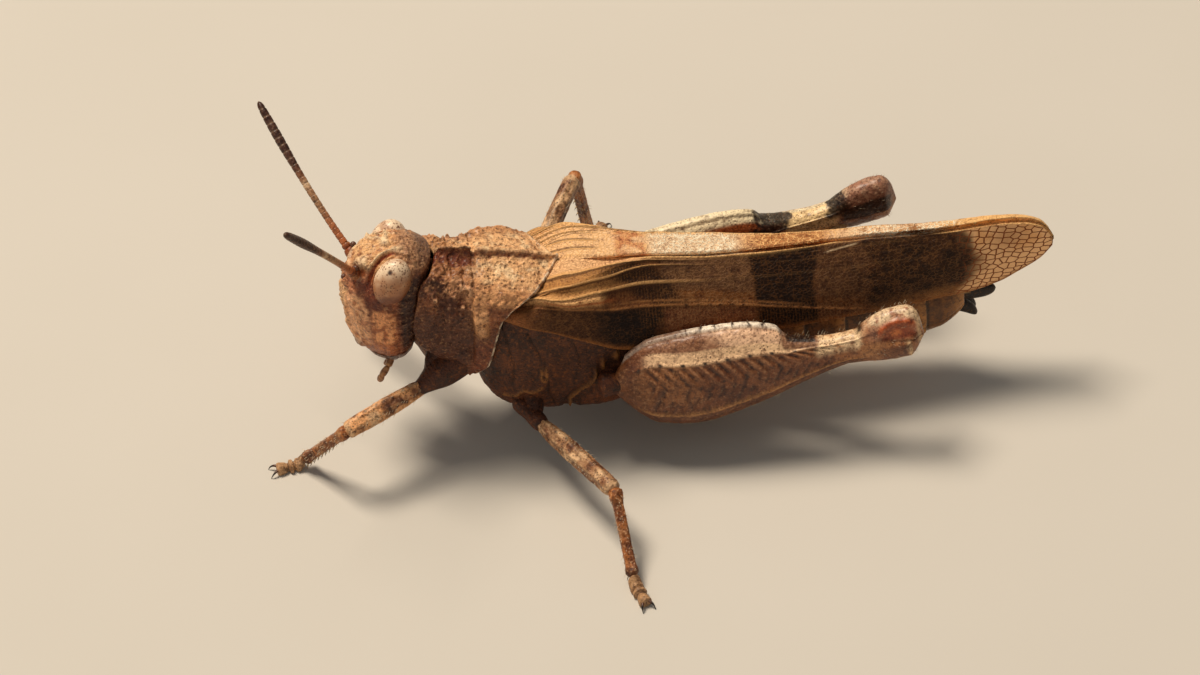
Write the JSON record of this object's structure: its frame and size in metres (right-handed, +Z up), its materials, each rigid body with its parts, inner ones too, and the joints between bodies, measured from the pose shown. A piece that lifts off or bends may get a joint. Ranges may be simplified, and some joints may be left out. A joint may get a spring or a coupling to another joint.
{
  "type": "grasshopper",
  "caption": "Life-size still model of a band-winged grasshopper at rest, wings folded, mottled brown and ochre, standing on small flat soles.",
  "frame": {"origin": "centre of the bounding box in X and Y, on the ground the feet stand on", "axes": "+X from the head to the wing tips, +Y to the animal's right side, +Z up"},
  "size_m": [0.0338, 0.023, 0.0158],
  "materials": {
    "head_shell": "ochre-brown pitted chitin with pale ridges, satin",
    "mouth_shell": "brown and pale mottled chitin, satin",
    "eye": "pale beige-grey finely speckled, glossy",
    "feeler": "dark red-brown with pale rings, satin",
    "pronotum_shell": "rugose ochre and reddish brown with dark pits, matte",
    "body_shell": "finely speckled brown, matte",
    "abdomen_shell": "yellowish brown, satin",
    "wing": "brown membrane with raised veins, dark bands and pale reticulation, satin",
    "hindwing": "pale folded membrane, satin",
    "walking_leg": "tan with dark blotches, satin",
    "jumping_leg": "beige-ochre with dark bands and speckles, satin"
  },
  "bodies": {
    "root": {"head": "head_shell", "mouthparts": "mouth_shell", "palp_left": "mouth_shell", "eye_left": "eye", "antenna_left_base": "feeler", "antenna_left_flagellum": "feeler", "tegmen_left": "wing", "hindwing_left": "hindwing", "palp_right": "mouth_shell", "eye_right": "eye", "antenna_right_base": "feeler", "antenna_right_flagellum": "feeler", "tegmen_right": "wing", "hindwing_right": "hindwing", "pronotum": "pronotum_shell", "prothorax": "body_shell", "pterothorax": "body_shell", "abdomen_front": "abdomen_shell", "abdomen_middle": "abdomen_shell", "abdomen_rear": "abdomen_shell", "valve_upper": "abdomen_shell", "valve_lower": "abdomen_shell", "fore_left_coxa": "body_shell", "fore_left_femur": "walking_leg", "fore_left_tibia": "walking_leg", "fore_left_tarsus": "walking_leg", "fore_right_coxa": "body_shell", "fore_right_femur": "walking_leg", "fore_right_tibia": "walking_leg", "fore_right_tarsus": "walking_leg", "mid_left_coxa": "body_shell", "mid_left_femur": "walking_leg", "mid_left_tibia": "walking_leg", "mid_left_tarsus": "walking_leg", "mid_right_coxa": "body_shell", "mid_right_femur": "walking_leg", "mid_right_tibia": "walking_leg", "mid_right_tarsus": "walking_leg", "hind_left_coxa": "body_shell", "hind_left_femur": "jumping_leg", "hind_left_tibia": "jumping_leg", "hind_left_tarsus": "jumping_leg", "hind_right_coxa": "body_shell", "hind_right_femur": "jumping_leg", "hind_right_tibia": "jumping_leg", "hind_right_tarsus": "jumping_leg"}
  },
  "joints": []
}
